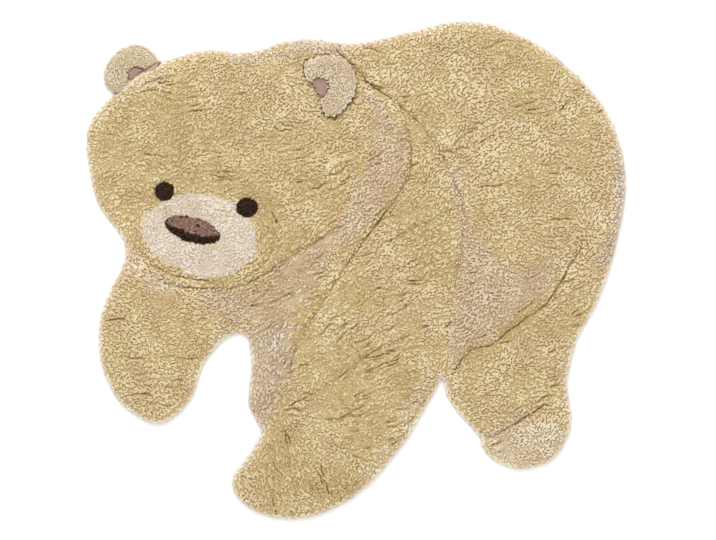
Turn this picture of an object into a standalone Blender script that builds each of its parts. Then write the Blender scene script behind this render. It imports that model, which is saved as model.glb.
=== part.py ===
"""Tufted cotton rug for a children's room, cut in the shape of a walking bear and lying flat.

The rug is one slab of pile on a ground cloth: a smooth outline with locks of yarn along its rim,
a lumpy top with carved lines between the parts of the body, and a flat underside. Two tufted ears
are sewn to it, each with a small woven lining in its hollow. Lengths in the tables are in
millimetres, seen from above, with the origin on the floor under the middle of the rug.
"""

import bmesh
import bpy
import numpy as np
from mathutils import Matrix, Vector, noise
from mathutils.geometry import delaunay_2d_cdt

MM = 0.001
NAME = "bear_rug"

# Pile: mean height, broad lumps and clumps of yarn, and the spacing of the points that carry them
PILE_TOP = 16.5
LUMP_RISE = 2.6
LUMP_SIZE = 70.0
CLUMP_RISE = 3.6
CLUMP_SIZE = 19.0
LATTICE = 22.0
LATTICE_SHIFT = 0.35
LATTICE_CLEAR = 0.6
ROW_RATIO = 3.0 ** 0.5 / 2

# Locks along a rim: two points to a lock, a dip and a tip, none of them quite even
LOCK_PITCH = 17.0
LOCK_REACH = 3.2
LOCK_DIP = 1.8
LOCK_SPREAD = 0.9
LOCK_LIFT = 1.8
LOCK_LEAN = 3.0

# Profile of a tufted rim from the floor up: name, share of the thickness, inset from the outline, share of the lock
RIM = (
    ("hem", 0.00, 5.0, 0.0),
    ("bulge", 0.42, 0.0, 1.0),
    ("shoulder", 0.78, 4.0, 0.4),
)
RIM_MARGIN = 13.0

# Carved lines: width of the cut, where the pile stands full again beside it, and the spacing of its points
GROOVE_WIDTH = 6.0
GROOVE_SHOULDER = 11.0
GROOVE_STEP = 15.0
RING_STEP = 13.0
SHOULDER_CLEAR = 0.8
CROSSING_CLEAR = 5.0

# Ears and linings
SEAM_GAP = 0.45
LINING_GAP = 0.6
EAR_GAP = 0.3
EAR_LEFT_THICK = 17.0
EAR_RIGHT_THICK = 13.0
EAR_LATTICE = 12.0
EAR_BED = 12.0
EAR_BED_MARGIN = 5.0
HOLLOW_DEPTH = 7.0
HOLLOW_MOUTH = 14.0
LINING_THICK = 2.0

# Layers of noise, one for each thing that varies
LAYER = {"lumps": 1.0, "clumps": 2.0, "shift x": 3.0, "lift": 5.0, "reach": 7.0, "shift y": 9.0, "lean": 11.0}

# The bear's outline, clockwise from the seam of the far ear: name, share of the lock, knots x, y.
# Each stretch is smooth and meets the next at a corner.
OUTLINE = (
    ("far ear's seam", 0.0, ((-539, 391), (-521, 403), (-506, 421), (-490, 436), (-470, 444), (-450, 450))),
    ("head, back, rump and hind foot", 1.0, (
        (-434, 465), (-412, 470), (-373, 482), (-322, 491), (-257, 483), (-214, 490), (-165, 507),
        (-111, 514), (-8, 504), (100, 525), (169, 543), (230, 555), (342, 535), (465, 461), (564, 347),
        (601, 214), (584, 73), (540, -66), (488, -165), (470, -264), (480, -335), (441, -419),
        (362, -441), (300, -413))),
    ("heel", 0.5, ((282, -389),)),
    ("hind leg", 1.0, ((288, -376), (231, -313), (207, -279), (202, -241))),
    ("belly and near front leg", 1.0, (
        (193, -229), (160, -293), (104, -386), (3, -497), (-118, -551), (-225, -536), (-276, -484),
        (-268, -459), (-218, -391))),
    ("far front legs", 1.0, (
        (-203, -358), (-236, -300), (-230, -228), (-238, -147), (-257, -137), (-286, -144), (-341, -203),
        (-372, -286), (-439, -340), (-519, -299), (-567, -203), (-565, -93), (-519, 6))),
    ("cheek", 1.0, ((-508, 46), (-519, 75), (-549, 114), (-575, 155), (-598, 270), (-597, 315), (-582, 347))),
)

# The far ear's round edge, which ends on the head's seam
EAR_LEFT_EDGE = (
    (-539, 391), (-551, 404), (-560, 418), (-563, 437), (-554, 465), (-536, 486), (-516, 500),
    (-490, 505), (-465, 497), (-449, 483))

# The near ear, clockwise: its round edge and its plain seam
EAR_RIGHT = (
    ("edge", 1.0, (
        (-118, 454), (-113, 465), (-90, 475), (-62, 480), (-33, 479), (-14, 462), (-1, 437), (1, 414),
        (-6, 386), (-26, 362), (-41, 346), (-58, 341))),
    ("seam", 0.4, ((-71, 349), (-79, 385), (-88, 403), (-97, 421), (-109, 428))),
)

# Linings, clockwise: corner x, corner y, and 1 where that corner's side is open towards the head
EAR_LEFT_LINING = (
    (-510, 443, 0), (-497, 454, 0), (-474, 449, 0), (-491, 438, 1), (-504, 425, 1))
EAR_RIGHT_LINING = (
    (-93, 426, 0), (-84, 431, 0), (-67, 428, 0), (-61, 417, 0), (-63, 403, 0), (-72, 387, 0),
    (-82, 395, 0), (-90, 411, 0))

# Lines carved into the pile: name, depth, knots x, y
CARVED = (
    ("chin", 4.0, (
        (-494, 57), (-450, 12), (-405, -10), (-349, -21), (-293, -24), (-248, -15), (-203, 19), (-187, 46))),
    ("jaw", 6.0, ((-427, -25), (-382, -37), (-315, -41), (-259, -35), (-203, -8), (-147, 30), (-53, 86))),
    ("neck", 5.0, ((-35, 480), (-1, 456), (33, 416), (66, 394), (100, 371))),
    ("near shoulder", 6.0, (
        (100, 371), (112, 326), (124, 270), (118, 214), (89, 158), (44, 102), (-35, -10), (-113, -133),
        (-136, -178), (-147, -223))),
    ("shoulder blade", 5.0, (
        (100, 371), (146, 326), (178, 281), (205, 236), (223, 192), (239, 147), (241, 91), (223, -33))),
    ("elbow", 3.5, ((77, 68), (145, 102), (223, 140))),
    ("forearm", 3.5, ((-147, -302), (-102, -279), (-46, -246), (44, -178), (122, -145))),
    ("flank", 6.0, (
        (504, 50), (481, 12), (448, -44), (425, -77), (391, -100), (346, -133), (302, -167), (257, -178),
        (223, -223))),
    ("hind foot", 4.0, ((290, -374), (324, -362), (369, -335), (414, -308))),
    ("far ear", 3.5, ((-528, 392), (-495, 405), (-461, 423), (-420, 432))),
    ("paw wrinkle", 3.0, ((-158, -358), (-151, -403), (-142, -470))),
)

# Clipped rings round the eyes and nose: name, depth, centre x, centre y, length, height, turn in degrees
RINGS = (
    ("far eye", 2.5, -427, 177, 45, 41, 0),
    ("near eye", 2.5, -242, 141, 48, 43, 0),
    ("nose", 3.0, -366, 91, 124, 50, -17),
)

# Linear colours of the cloths
HONEY = (0.571, 0.434, 0.223)
PALE_HONEY = (0.617, 0.509, 0.347)
DUSTY_PINK = (0.468, 0.305, 0.255)
COTTON_ROUGHNESS = 0.95
SHARP_ANGLE = 60.0


def spline(knots, end, fine=24):
    """Centripetal Catmull-Rom curve through the knots and on to the end point, finely sampled."""
    path = np.array([*knots, end], float)
    ghost = [2 * path[0] - path[1], *path, 2 * path[-1] - path[-2]]
    pieces = []
    for p0, p1, p2, p3 in zip(ghost, ghost[1:], ghost[2:], ghost[3:]):
        t1 = np.linalg.norm(p1 - p0) ** 0.5
        t2 = t1 + np.linalg.norm(p2 - p1) ** 0.5
        t3 = t2 + np.linalg.norm(p3 - p2) ** 0.5
        t = np.linspace(t1, t2, fine, endpoint=False)[:, None]
        a1 = ((t1 - t) * p0 + t * p1) / t1
        a2 = ((t2 - t) * p1 + (t - t1) * p2) / (t2 - t1)
        a3 = ((t3 - t) * p2 + (t - t2) * p3) / (t3 - t2)
        b1 = ((t2 - t) * a1 + t * a2) / t2
        b2 = ((t3 - t) * a2 + (t - t1) * a3) / (t3 - t1)
        pieces.append(((t2 - t) * b1 + (t - t1) * b2) / (t2 - t1))
    return np.vstack(pieces + [path[-1:]])


def even_points(curve, step, fold=1):
    """Points at even distances along a curve, both ends kept, in a count of steps that fold divides."""
    length = np.linalg.norm(np.diff(curve, axis=0), axis=1)
    along = np.concatenate([[0.0], np.cumsum(length)])
    count = fold * max(1, round(along[-1] / (step * fold)))
    where = np.linspace(0.0, along[-1], count + 1)
    return np.column_stack([np.interp(where, along, curve[:, i]) for i in range(2)])


def closed(loop):
    """The loop with its first point again at its end."""
    return np.vstack([loop, loop[:1]])


def outward(loop):
    """Unit normals of a clockwise loop, pointing out of it."""
    run = np.roll(loop, -1, axis=0) - np.roll(loop, 1, axis=0)
    normal = np.column_stack([-run[:, 1], run[:, 0]])
    return normal / np.linalg.norm(normal, axis=1)[:, None]


def rough(points, size, layer):
    """Smooth noise between about -1 and 1 at each point, with features of the given size."""
    return np.array([noise.noise(Vector((x / size, y / size, LAYER[layer]))) for x, y in points])


def distance_to(points, paths):
    """Shortest distance from each point to any segment of the paths, and which path that is."""
    best = np.full(len(points), np.inf)
    owner = np.zeros(len(points), int)
    for index, path in enumerate(paths):
        for start, end in zip(path[:-1], path[1:]):
            run = end - start
            share = np.clip((points - start) @ run / (run @ run), 0.0, 1.0)
            away = np.linalg.norm(points - start - share[:, None] * run, axis=1)
            owner[away < best] = index
            best = np.minimum(best, away)
    return best, owner


def inside(points, loop):
    """True for each point that a ray to +X leaves the loop from an odd number of times."""
    odd = np.zeros(len(points), bool)
    for (x1, y1), (x2, y2) in zip(loop, np.roll(loop, -1, axis=0)):
        spans = (y1 > points[:, 1]) != (y2 > points[:, 1])
        if spans.any():
            crossing = x1 + (points[:, 1] - y1) * (x2 - x1) / (y2 - y1)
            odd ^= spans & (points[:, 0] < crossing)
    return odd


def well_inside(points, loop, margin):
    """True for each point in the loop that lies more than the margin from its edge."""
    return inside(points, loop) & (distance_to(points, [closed(loop)])[0] > margin)


def lattice(loop, pitch):
    """Triangular lattice of points over a loop's box, each moved a little so that no row shows."""
    low = loop.min(axis=0)
    high = loop.max(axis=0)
    rows = np.arange(low[1], high[1], pitch * ROW_RATIO)
    columns = np.arange(low[0], high[0], pitch)
    x, y = np.meshgrid(columns, rows)
    x = x + np.where(np.arange(len(rows)) % 2, pitch / 2, 0.0)[:, None]
    points = np.column_stack([x.ravel(), y.ravel()])
    shift = np.column_stack([rough(points, pitch, "shift x"), rough(points, pitch, "shift y")])
    return points + LATTICE_SHIFT * pitch * shift


def add_apart(points, more, spacing):
    """The points, and after them each of the others that keeps the spacing from all before it."""
    for point in more:
        if np.linalg.norm(points - point, axis=1).min() >= spacing:
            points = np.vstack([points, point])
    return points


def rim_loop(stretches):
    """A closed outline with a dip and a tip to a lock, and how far each point stands off the outline."""
    points = []
    reach = []
    for i, (_, share, knots) in enumerate(stretches):
        after = stretches[(i + 1) % len(stretches)][2][0]
        run = even_points(spline(knots, after), LOCK_PITCH / 2, fold=2)
        forward = np.gradient(run, axis=0)
        forward /= np.linalg.norm(forward, axis=1)[:, None]
        tip = np.arange(len(run)) % 2 == 1
        lean = share * tip * LOCK_LEAN * rough(run, LOCK_PITCH / 3, "lean")
        spread = 1.0 + LOCK_SPREAD * rough(run, LOCK_PITCH / 3, "reach")
        points.append((run + lean[:, None] * forward)[:-1])
        reach.append((share * spread * np.where(tip, LOCK_REACH, -LOCK_DIP))[:-1])
    return np.vstack(points), np.concatenate(reach)


def ear_left_loop():
    """The far ear's outline: its round edge, then the seam, a hair clear of the head's own edge."""
    head, _ = rim_loop(OUTLINE)
    _, _, seam_knots = OUTLINE[0]
    _, _, next_knots = OUTLINE[1]
    seam_points = len(even_points(spline(seam_knots, next_knots[0]), LOCK_PITCH / 2, fold=2))
    seam = (head + SEAM_GAP * outward(head))[:seam_points][::-1]
    edge = even_points(spline(EAR_LEFT_EDGE, seam[0]), LOCK_PITCH / 2, fold=2)
    edge[0] = seam[-1]
    reach = np.where(np.arange(len(edge)) % 2 == 1, LOCK_REACH, -LOCK_DIP)
    reach[[0, 1, -2, -1]] = 0.0
    return np.vstack([edge[:-1], seam[:-1]]), np.concatenate([reach[:-1], np.zeros(len(seam) - 1)])


def tufted_solid(name, loop, reach, floor, thick, inner, edges, height):
    """A closed slab of pile: a flat underside, a rim of locks, and a top through the inner points."""
    count = len(loop)
    following = [(i + 1) % count for i in range(count)]
    lift = LOCK_LIFT * rough(loop, LOCK_PITCH / 3, "lift")
    mesh = bmesh.new()
    rings = []
    for _, share, inset, lock in RIM:
        ring = loop + (lock * reach - inset)[:, None] * outward(loop)
        level = floor + share * thick + lock * lift
        rings.append([mesh.verts.new((x * MM, y * MM, z * MM)) for (x, y), z in zip(ring, level)])
    mesh.faces.new(rings[0])
    for lower, upper in zip(rings, rings[1:]):
        for i, k in enumerate(following):
            mesh.faces.new((lower[i], lower[k], upper[k], upper[i]))
    flat = [Vector(point) for point in np.vstack([ring, inner])]
    links = list(enumerate(following)) + [(a + count, b + count) for a, b in edges]
    found, _, faces, source, _, _ = delaunay_2d_cdt(flat, links, [], 1, 0.01)
    levels = height(np.array([(p.x, p.y) for p in found]))
    top = []
    for place, level, olds in zip(found, levels, source):
        on_rim = [i for i in olds if i < count]
        if on_rim:
            top.append(rings[-1][on_rim[0]])
        else:
            top.append(mesh.verts.new((place.x * MM, place.y * MM, level * MM)))
    for face in faces:
        mesh.faces.new([top[i] for i in face])
    bmesh.ops.triangulate(mesh, faces=mesh.faces[:])
    return finished(name, mesh)


def plate(name, corners, low, high):
    """A flat piece with the given corners, between two heights."""
    mesh = bmesh.new()
    face = mesh.faces.new([mesh.verts.new((x * MM, y * MM, low * MM)) for x, y in corners])
    raised = bmesh.ops.extrude_face_region(mesh, geom=[face])
    moved = [item for item in raised["geom"] if isinstance(item, bmesh.types.BMVert)]
    bmesh.ops.translate(mesh, verts=moved, vec=(0.0, 0.0, (high - low) * MM))
    return finished(name, mesh)


def finished(name, mesh):
    """An object of the mesh, its faces turned outwards."""
    bmesh.ops.recalc_face_normals(mesh, faces=mesh.faces[:])
    data = bpy.data.meshes.new(name)
    mesh.to_mesh(data)
    mesh.free()
    return bpy.data.objects.new(name, data)


def cloth_material(name, colour):
    """Matt cotton of one colour."""
    material = bpy.data.materials.new(name)
    material.use_nodes = True
    shader = material.node_tree.nodes["Principled BSDF"]
    shader.inputs["Base Color"].default_value = (*colour, 1.0)
    shader.inputs["Roughness"].default_value = COTTON_ROUGHNESS
    shader.inputs["Metallic"].default_value = 0.0
    return material


def carved_paths(edge):
    """The carved lines and clipped rings inside the rim, as paths, and their depths."""
    paths = []
    for _, _, knots in CARVED:
        path = even_points(spline(knots[:-1], knots[-1]), GROOVE_STEP)
        paths.append(path[well_inside(path, edge, RIM_MARGIN)])
    for _, _, x, y, length, wide, turn in RINGS:
        count = round(np.pi * (length + wide) / 2 / RING_STEP)
        angle = np.linspace(0.0, 2 * np.pi, count + 1)
        c, s = np.cos(np.radians(turn)), np.sin(np.radians(turn))
        u, v = np.cos(angle) * length / 2, np.sin(angle) * wide / 2
        paths.append(np.column_stack([x + u * c - v * s, y + u * s + v * c]))
    return paths, np.array([row[1] for row in CARVED + RINGS])


def shoulders(path):
    """Points on both sides of a carved line, where the pile stands at its full height again."""
    run = np.gradient(path, axis=0)
    side = np.column_stack([-run[:, 1], run[:, 0]])
    side *= GROOVE_SHOULDER / np.linalg.norm(side, axis=1)[:, None]
    return np.vstack([path + side, path - side])


def chain(inner, edges, path):
    """The inner points and edges with a path added, closed where the path ends where it starts."""
    first = len(inner)
    is_ring = np.allclose(path[0], path[-1])
    own = path[:-1] if is_ring else path
    links = [(first + i, first + i + 1) for i in range(len(own) - 1)]
    if is_ring:
        links.append((first + len(own) - 1, first))
    return np.vstack([inner, own]), edges + links


def pile_top(points, base):
    """Height of uncarved pile: broad lumps and small clumps of yarn round the base height."""
    lumps = LUMP_RISE * rough(points, LUMP_SIZE, "lumps")
    return base + lumps + CLUMP_RISE * rough(points, CLUMP_SIZE, "clumps")


def make_rug():
    """The bear's body, head and legs: one slab with carved lines and a pressed bed for the near ear."""
    loop, reach = rim_loop(OUTLINE)
    edge = loop - RIM[-1][2] * outward(loop)
    ear, _ = rim_loop(EAR_RIGHT)
    bed = (ear + EAR_BED_MARGIN * outward(ear))[::2]
    bed_limit = bed + EAR_GAP * outward(bed)
    paths, depths = carved_paths(edge)
    paths = [path[~inside(path, bed_limit)] for path in paths]
    inner, edges = chain(np.empty((0, 2)), [], closed(bed))
    for path in paths:
        near = np.linalg.norm(path[:, None] - inner[None], axis=2).min(axis=1)
        inner, edges = chain(inner, edges, path if np.allclose(path[0], path[-1]) else path[near > CROSSING_CLEAR])
    sides = np.vstack([shoulders(path) for path in paths])
    for more, spacing in ((sides, SHOULDER_CLEAR * GROOVE_SHOULDER), (lattice(loop, LATTICE), LATTICE_CLEAR * LATTICE)):
        free = well_inside(more, edge, RIM_MARGIN) & ~inside(more, bed_limit)
        inner = add_apart(inner, more[free], spacing)

    def height(points):
        away, owner = distance_to(points, paths)
        carved = pile_top(points, PILE_TOP) - depths[owner] * np.exp(-(away / GROOVE_WIDTH) ** 2)
        return np.where(inside(points, bed_limit), EAR_BED, carved)

    return tufted_solid("rug", loop, reach, 0.0, PILE_TOP, inner, edges, height)


def make_ear(name, outline, floor, thick, lining):
    """A tufted ear, the cutter that makes the hollow in its top, and the woven lining of the hollow."""
    loop, reach = outline
    top = floor + thick
    edge = loop - RIM[-1][2] * outward(loop)
    points = lattice(loop, EAR_LATTICE)
    points = points[well_inside(points, edge, LATTICE_CLEAR * EAR_LATTICE)]
    ear = tufted_solid(name, loop, reach, floor, thick, points, [], lambda p: pile_top(p, top))
    corners = np.array([row[:2] for row in lining], float)
    grow = np.array([HOLLOW_MOUTH if row[2] else LINING_GAP for row in lining])
    bottom = top - HOLLOW_DEPTH
    hollow = corners + grow[:, None] * outward(corners)
    cutter = plate(name + "_hollow", hollow, bottom - LINING_GAP, top + thick)
    cutter.hide_render = True
    cutter.display_type = "WIRE"
    cut = ear.modifiers.new("hollow", "BOOLEAN")
    cut.operation = "DIFFERENCE"
    cut.object = cutter
    return ear, plate(name + "_lining", corners, bottom, bottom + LINING_THICK), cutter


def settle(objects, rug):
    """Moves every mesh by the same small step, so that the origin lies under the middle of the rug's box."""
    corners = np.array(rug.bound_box)
    x, y, _ = (corners.min(axis=0) + corners.max(axis=0)) / 2
    for obj in objects:
        obj.data.transform(Matrix.Translation((-x, -y, 0.0)))


def main():
    for old in list(bpy.data.objects):
        bpy.data.objects.remove(old, do_unlink=True)
    parts = bpy.data.collections.new(NAME)
    cutters = bpy.data.collections.new("cutters")
    for group in (parts, cutters):
        bpy.context.scene.collection.children.link(group)
    rug = make_rug()
    far = make_ear("ear_left", ear_left_loop(), 0.0, EAR_LEFT_THICK, EAR_LEFT_LINING)
    near = make_ear("ear_right", rim_loop(EAR_RIGHT), EAR_BED + EAR_GAP, EAR_RIGHT_THICK, EAR_RIGHT_LINING)
    rug.data.materials.append(cloth_material("honey pile", HONEY))
    parts.objects.link(rug)
    for side, (ear, lining, cutter) in (("far", far), ("near", near)):
        ear.data.materials.append(cloth_material(side + " ear pile", PALE_HONEY))
        lining.data.materials.append(cloth_material(side + " ear lining", DUSTY_PINK))
        parts.objects.link(ear)
        parts.objects.link(lining)
        cutters.objects.link(cutter)
    for obj in parts.objects:
        obj.data.shade_smooth()
        obj.data.set_sharp_from_angle(angle=np.radians(SHARP_ANGLE))
    settle([rug, *far, *near], rug)


main()
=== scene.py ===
"""A bear shaped kids rug of tufted cotton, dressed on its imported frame.

The frame gives the rug's solid, its two ears and their linings. Each pile is made again yarn by
yarn: a core lies a few millimetres inside the solid, and tufts grow out of it to the solid's own
surface. Yarns laid along the hem give the rug and the far ear an even edge. Tables are in
millimetres, seen from above with the rug's top edge towards +Y.
"""

import math

import bmesh
import bpy
import numpy as np
from mathutils.bvhtree import BVHTree
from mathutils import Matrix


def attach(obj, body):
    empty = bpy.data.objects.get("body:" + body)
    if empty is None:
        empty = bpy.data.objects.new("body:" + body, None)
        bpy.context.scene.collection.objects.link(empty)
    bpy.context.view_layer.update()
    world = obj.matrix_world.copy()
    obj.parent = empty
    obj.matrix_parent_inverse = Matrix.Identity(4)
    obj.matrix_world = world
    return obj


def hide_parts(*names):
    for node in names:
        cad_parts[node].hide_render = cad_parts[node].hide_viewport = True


MM = 0.001

# The tufts of a pile's top, in millimetres: how far apart they stand, how thick and deep they are,
# how far they lie over, how much each of these differs from tuft to tuft, and where they bend
TUFT_PITCH = 6.0
TUFT_RADIUS = 2.95
RADIUS_SPREAD = (0.78, 1.2)
TUFT_DEPTH = 7.5
ROOT_CLEAR = 0.4
TUFT_LAY = 10.0
LAY_SPREAD = (0.55, 1.15)
LAY_SWELL = 0.25
LAY_SWELL_PATCH = 70.0
LAY_PATCH = 17.0
LAY_MIXED = 0.5
TURN_PATCH = 30.0
TURN_FREE = 2.4
TURN_SPREAD = 0.34
TUFT_BOW = 0.16
TUFT_SLACK = 0.6
KNEE_REACH = 9.0
KNEE_SHARE = 0.3
KNEE_DROP = 0.45
TIP_DROP = (1.6, 0.26)
TIP_CLIMB = 3.0
SLOPE_REACH = 3.0
SLOPE_PULL = 2.0
OUTSIDE_LEAN = 0.45
UPRIGHT_TURN = 0.6
UPRIGHT_LAY = 0.3
OPENED_LAY = 0.5
ROW_RATIO = math.sqrt(3.0) / 2
JITTER = 0.26
BATCH = 2000

# Rays down to a solid start at this height, and what lies this close to its lowest point is flat
RAY_HEIGHT = 200.0
FLAT = 0.01

# How pale or dark each tuft is: by chance, and in patches of these sizes and strengths
TONE_SPREAD = 0.35
TONE_PATCHES = ((11.0, 0.4), (34.0, 0.35), (110.0, 0.35))

# How far tufts keep from other solids, and how high a tip may be that doesn't
SEAM_CLEAR = 2.6
SEAM_DEEP = 8.0
NEAR_EAR_CLEAR = 1.5 * SEAM_CLEAR
LINING_CLEAR = 3.2

# How far the pile's core lies under its top, on the body, face and ears, and how far inside its side,
# which is where a normal points up by less than this
CORE_DEPTH = 4.5
FACE_DEPTH = 2.6
EAR_DEPTH = 3.1
RIM_INSET = 2.8
SIDE_NORMAL = 0.75

# The top's tufts near the rim: how far in they start, how they splay outwards and stand up, and how
# pale they are; paler still towards the top edge, which is painted light
TOP_INSET = 5.0
RIM_SPLAY = 2.0
RIM_SPLAY_REACH = 9.0
RIM_LAY = 0.5
RIM_TONE = 1.4
RIM_TONE_REACH = 13.0

# The rim, in millimetres: rows of tufts, each as the height of its tips as a share of the pile, how
# far the tips stand past the solid, and how pale the yarns are. The hem's rows are yarns laid along
# it, each to the spot a few pitches on, and those above them splay out from it. The lowest rows are
# darker, which is painted shade where the rim meets the floor, and all rows are paler on the top
# edge by HEM_LIT, which is painted light.
RIM_PITCH = 3.3
RIM_RADIUS = 2.0
RIM_SPREAD = (0.85, 1.12)
RIM_ROOT_INSET = 4.0
RIM_ROOT_HEIGHT = 2.6
RIM_TIP_SPREAD = (-0.2, 0.16)
RIM_TIP_ASIDE = 0.9
RIM_KNEE = 0.45
RIM_KNEE_HEIGHT = 0.8
RIM_PROBE = 9.0
RIM_EVEN = 11.0
RIM_JITTER = 0.3
RIM_LEVEL_SPREAD = 0.04
RIM_LOWEST = 0.06
PILE_PERCENTILE = 60
RIM_ROWS = (
    (0.66, 0.2, 1.9),
    (0.88, 0.2, 1.9),
)
HEM_PITCH = 4.7
HEM_RUN = 3
HEM_LIT = 1.8
LIT_LEVEL = 0.6
HEM_BULGE = 0.9
HEM_ROWS = (
    (0.12, 0.0, -1.6),
    (0.27, 0.0, 0.2),
    (0.45, -0.1, 1.4),
)
EAR_RIM_ROWS = (
    (0.16, 0.6, -1.2),
    (0.42, 0.5, 0.6),
    (0.66, 0.4, 1.0),
    (0.88, 0.3, 1.0),
)

# Clumps: neighbouring tufts whose tips lean together, so that cracks open between them
CLUMP_SIZE = 17.0
CLUMP_STRETCH = 2.2
CLUMP_PULL = 0.16
CLUMP_ALONG = 0.7
CELL_MARGIN = 0.1
CRACK_LEVEL = 0.45
CRACK_RANGE = 0.9
CRACK_MOST = 1.2
CRACK_OPEN = 3.0
CRACK_DROP = 2.4
CRACK_WIDTH = 3.6
# How much darker the tufts beside an opened crack are, which is painted shade
CRACK_SHADE = 2.5
CRACK_PATCH = 62.0

# Long cracks that follow the rows: how far apart they may start, their steps, how much they turn
# and in patches of what size, how strong they are, how sparse, and how cracked a region must be
SPLIT_PITCH = 19.0
SPLIT_STEP = 7.0
SPLIT_STEPS = 8
SPLIT_FEWEST = 4
SPLIT_TURN = 0.5
SPLIT_TURN_PATCH = 15.0
SPLIT_STRENGTH = 0.8
SPLIT_SPREAD = (0.5, 1.3)
SPLIT_RARE = 0.62
SPLIT_FROM = 0.45

# The ground cloth that the yarns are tufted through
CLOTH_THICK = 1.6

# Regions of the pile: name, centre, reach, direction of the rows in degrees, how firmly the rows
# hold it, how far cracks open in it, and how much paler than the rest it is
REGIONS = (
    ("head", (-304, 315), 130, 5, 0.45, 1.0, 0.0),
    ("brow", (-102, 360), 100, 165, 0.30, 0.9, 0.3),
    ("cheek", (-57, 225), 90, 18, 0.40, 0.9, 0.0),
    ("nape", (77, 200), 80, 45, 0.25, 1.1, -0.5),
    ("withers", (177, 325), 90, 25, 0.20, 0.6, 0.9),
    ("back", (347, 360), 150, 18, 0.50, 0.9, 0.1),
    ("rump", (470, 170), 120, 10, 0.40, 0.5, 0.6),
    ("belly", (340, 80), 110, 4, 0.45, 0.6, 0.2),
    ("flank", (436, -89), 90, 28, 0.75, 1.1, 0.2),
    ("side", (257, -111), 90, 22, 0.50, 0.8, 0.3),
    ("shoulder", (-12, 46), 90, 35, 0.50, 1.6, 0.4),
    ("elbow", (90, -70), 90, 14, 0.30, 1.5, 0.4),
    ("near_leg", (-57, -200), 90, 30, 0.75, 2.0, 1.0),
    ("near_arm", (-102, -89), 80, 38, 0.75, 1.7, 0.9),
    ("forearm", (-110, -300), 80, 6, 0.50, 1.7, 0.5),
    ("near_paw", (-180, -430), 90, 112, 0.40, 0.9, -0.2),
    ("chest", (-270, -50), 80, 15, 0.85, 0.6, 0.2),
    ("throat", (-438, -21), 90, 160, 0.80, 0.7, 0.8),
    ("far_leg", (-440, -167), 110, 168, 0.85, 0.8, 0.0),
    ("far_paw", (-450, -290), 80, 0, 0.50, 0.8, 0.3),
    ("inner_leg", (-200, -230), 70, 85, 0.40, 0.5, 0.0),
    ("hind_leg", (369, -290), 110, 15, 0.45, 0.8, 0.1),
    ("muzzle", (-345, 70), 70, 5, 0.50, 0.3, 0.0),
)

# Round the chin, below its top, the rows run in a ring
CHIN_CENTRE = (-345, 95)
CHIN_TOP = 40
CHIN_RADIUS = 128
CHIN_REACH = 32
CHIN_WEIGHT = 1.6
CHIN_GRIP = 0.9

# Lines clipped into the pile, where the tufts part: name, how far, and points on the line
CLIPPED = (
    ("chin", 0.8, (
        (-494, 57), (-450, 12), (-405, -10), (-349, -21), (-293, -24), (-248, -15), (-203, 19), (-187, 46))),
    ("jaw", 0.9, (
        (-427, -25), (-382, -37), (-315, -41), (-259, -35), (-203, -8), (-147, 30), (-53, 86))),
    ("neck", 1.2, ((-44, 494), (-14, 467), (12, 442), (33, 418), (66, 394), (84, 383))),
    ("near shoulder", 0.6, (
        (100, 371), (112, 326), (124, 270), (118, 214), (89, 158), (44, 102), (-35, -10), (-113, -133),
        (-136, -178), (-147, -223))),
    ("shoulder blade", 0.6, (
        (100, 371), (146, 326), (178, 281), (205, 236), (223, 192), (239, 147), (241, 91), (223, -33))),
    ("elbow", 0.6, ((77, 68), (145, 102), (223, 140))),
    ("forearm", 1.0, ((-147, -302), (-102, -279), (-46, -246), (44, -178), (122, -145))),
    ("flank", 1.0, (
        (504, 50), (481, 12), (448, -44), (425, -77), (391, -100), (346, -133), (302, -167), (257, -178),
        (223, -223))),
    ("hind foot", 1.1, ((290, -374), (324, -362), (369, -335), (414, -308))),
    ("far ear", 0.9, ((-528, 392), (-495, 405), (-461, 423), (-420, 432))),
    ("paw wrinkle", 0.7, ((-158, -358), (-151, -403), (-142, -470))),
)
# The far ear's seam, drawn as a clipped line whose stubs paint the shade in the gap between ear and head
EAR_SEAM = (
    ("far ear seam", 2.2, ((-481, 447), (-475, 448), (-466, 452), (-457, 457), (-448, 462), (-442, 465))),
)

# How a clipped line is drawn and how the tufts beside it part: how far it wanders, how wide it is
# bare, how far its edge is, and how it fades in and out
CLIP_OPEN = 2.2
CLIP_WANDER = 2.4
CLIP_WAVE = 12.0
CLIP_REACH = 8.0
CLIP_BARE = 2.5
CLIP_EDGE = 12.5
CLIP_BEVEL = 1.0
CLIP_MARGIN = 30.0
FADE_LEAST = 0.35
FADE_RANGE = 1.3
FADE_PATCH = 26.0
RING_STRENGTH = 0.25

# Dark stubs at the bottom of clipped lines and folds, painted shade where the groove lies in shadow
STUB_PITCH = 3.2
STUB_RADIUS = 2.1
STUB_DEPTH = 3.0
SEAM_DEPTH = 0.8
STUB_SHADE = 8.0
STUB_LEAST = 0.2
STUB_ASIDE = 0.5
STUB_UNEVEN = 0.4
STUB_SPREAD = (0.9, 1.2)
STUB_SHADE_SPREAD = (0.7, 1.1)
STUB_STEPS = (0.0, 0.33, 0.67)

# The open fold beside the near ear, with the ear's shadow painted into it: its darkest side, the
# side where the pile keeps away, how far it keeps, how dark the painted shadow is, and how far from
# the ear its stubs of painted shade stand. Then the stubs that paint shade round a lining.
FOLD_SIDE = (0.6, -0.8)
FOLD_SHADED = (-0.3, -0.95)
FOLD_CLEAR = 6.5
FOLD_SHADE = 14.0
FOLD_REACH = 17.0
FOLD_FACING = (3.0, -1.4)
FOLD_STUBS = (2.2, 4.4)
LINING_STUBS = 2.3
LINING_SHADED = (0.3, 0.95)

# What moves every point of the tables of lines and zones onto the frame
TABLE_SHIFT = (-1.3, -0.85)

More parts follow.
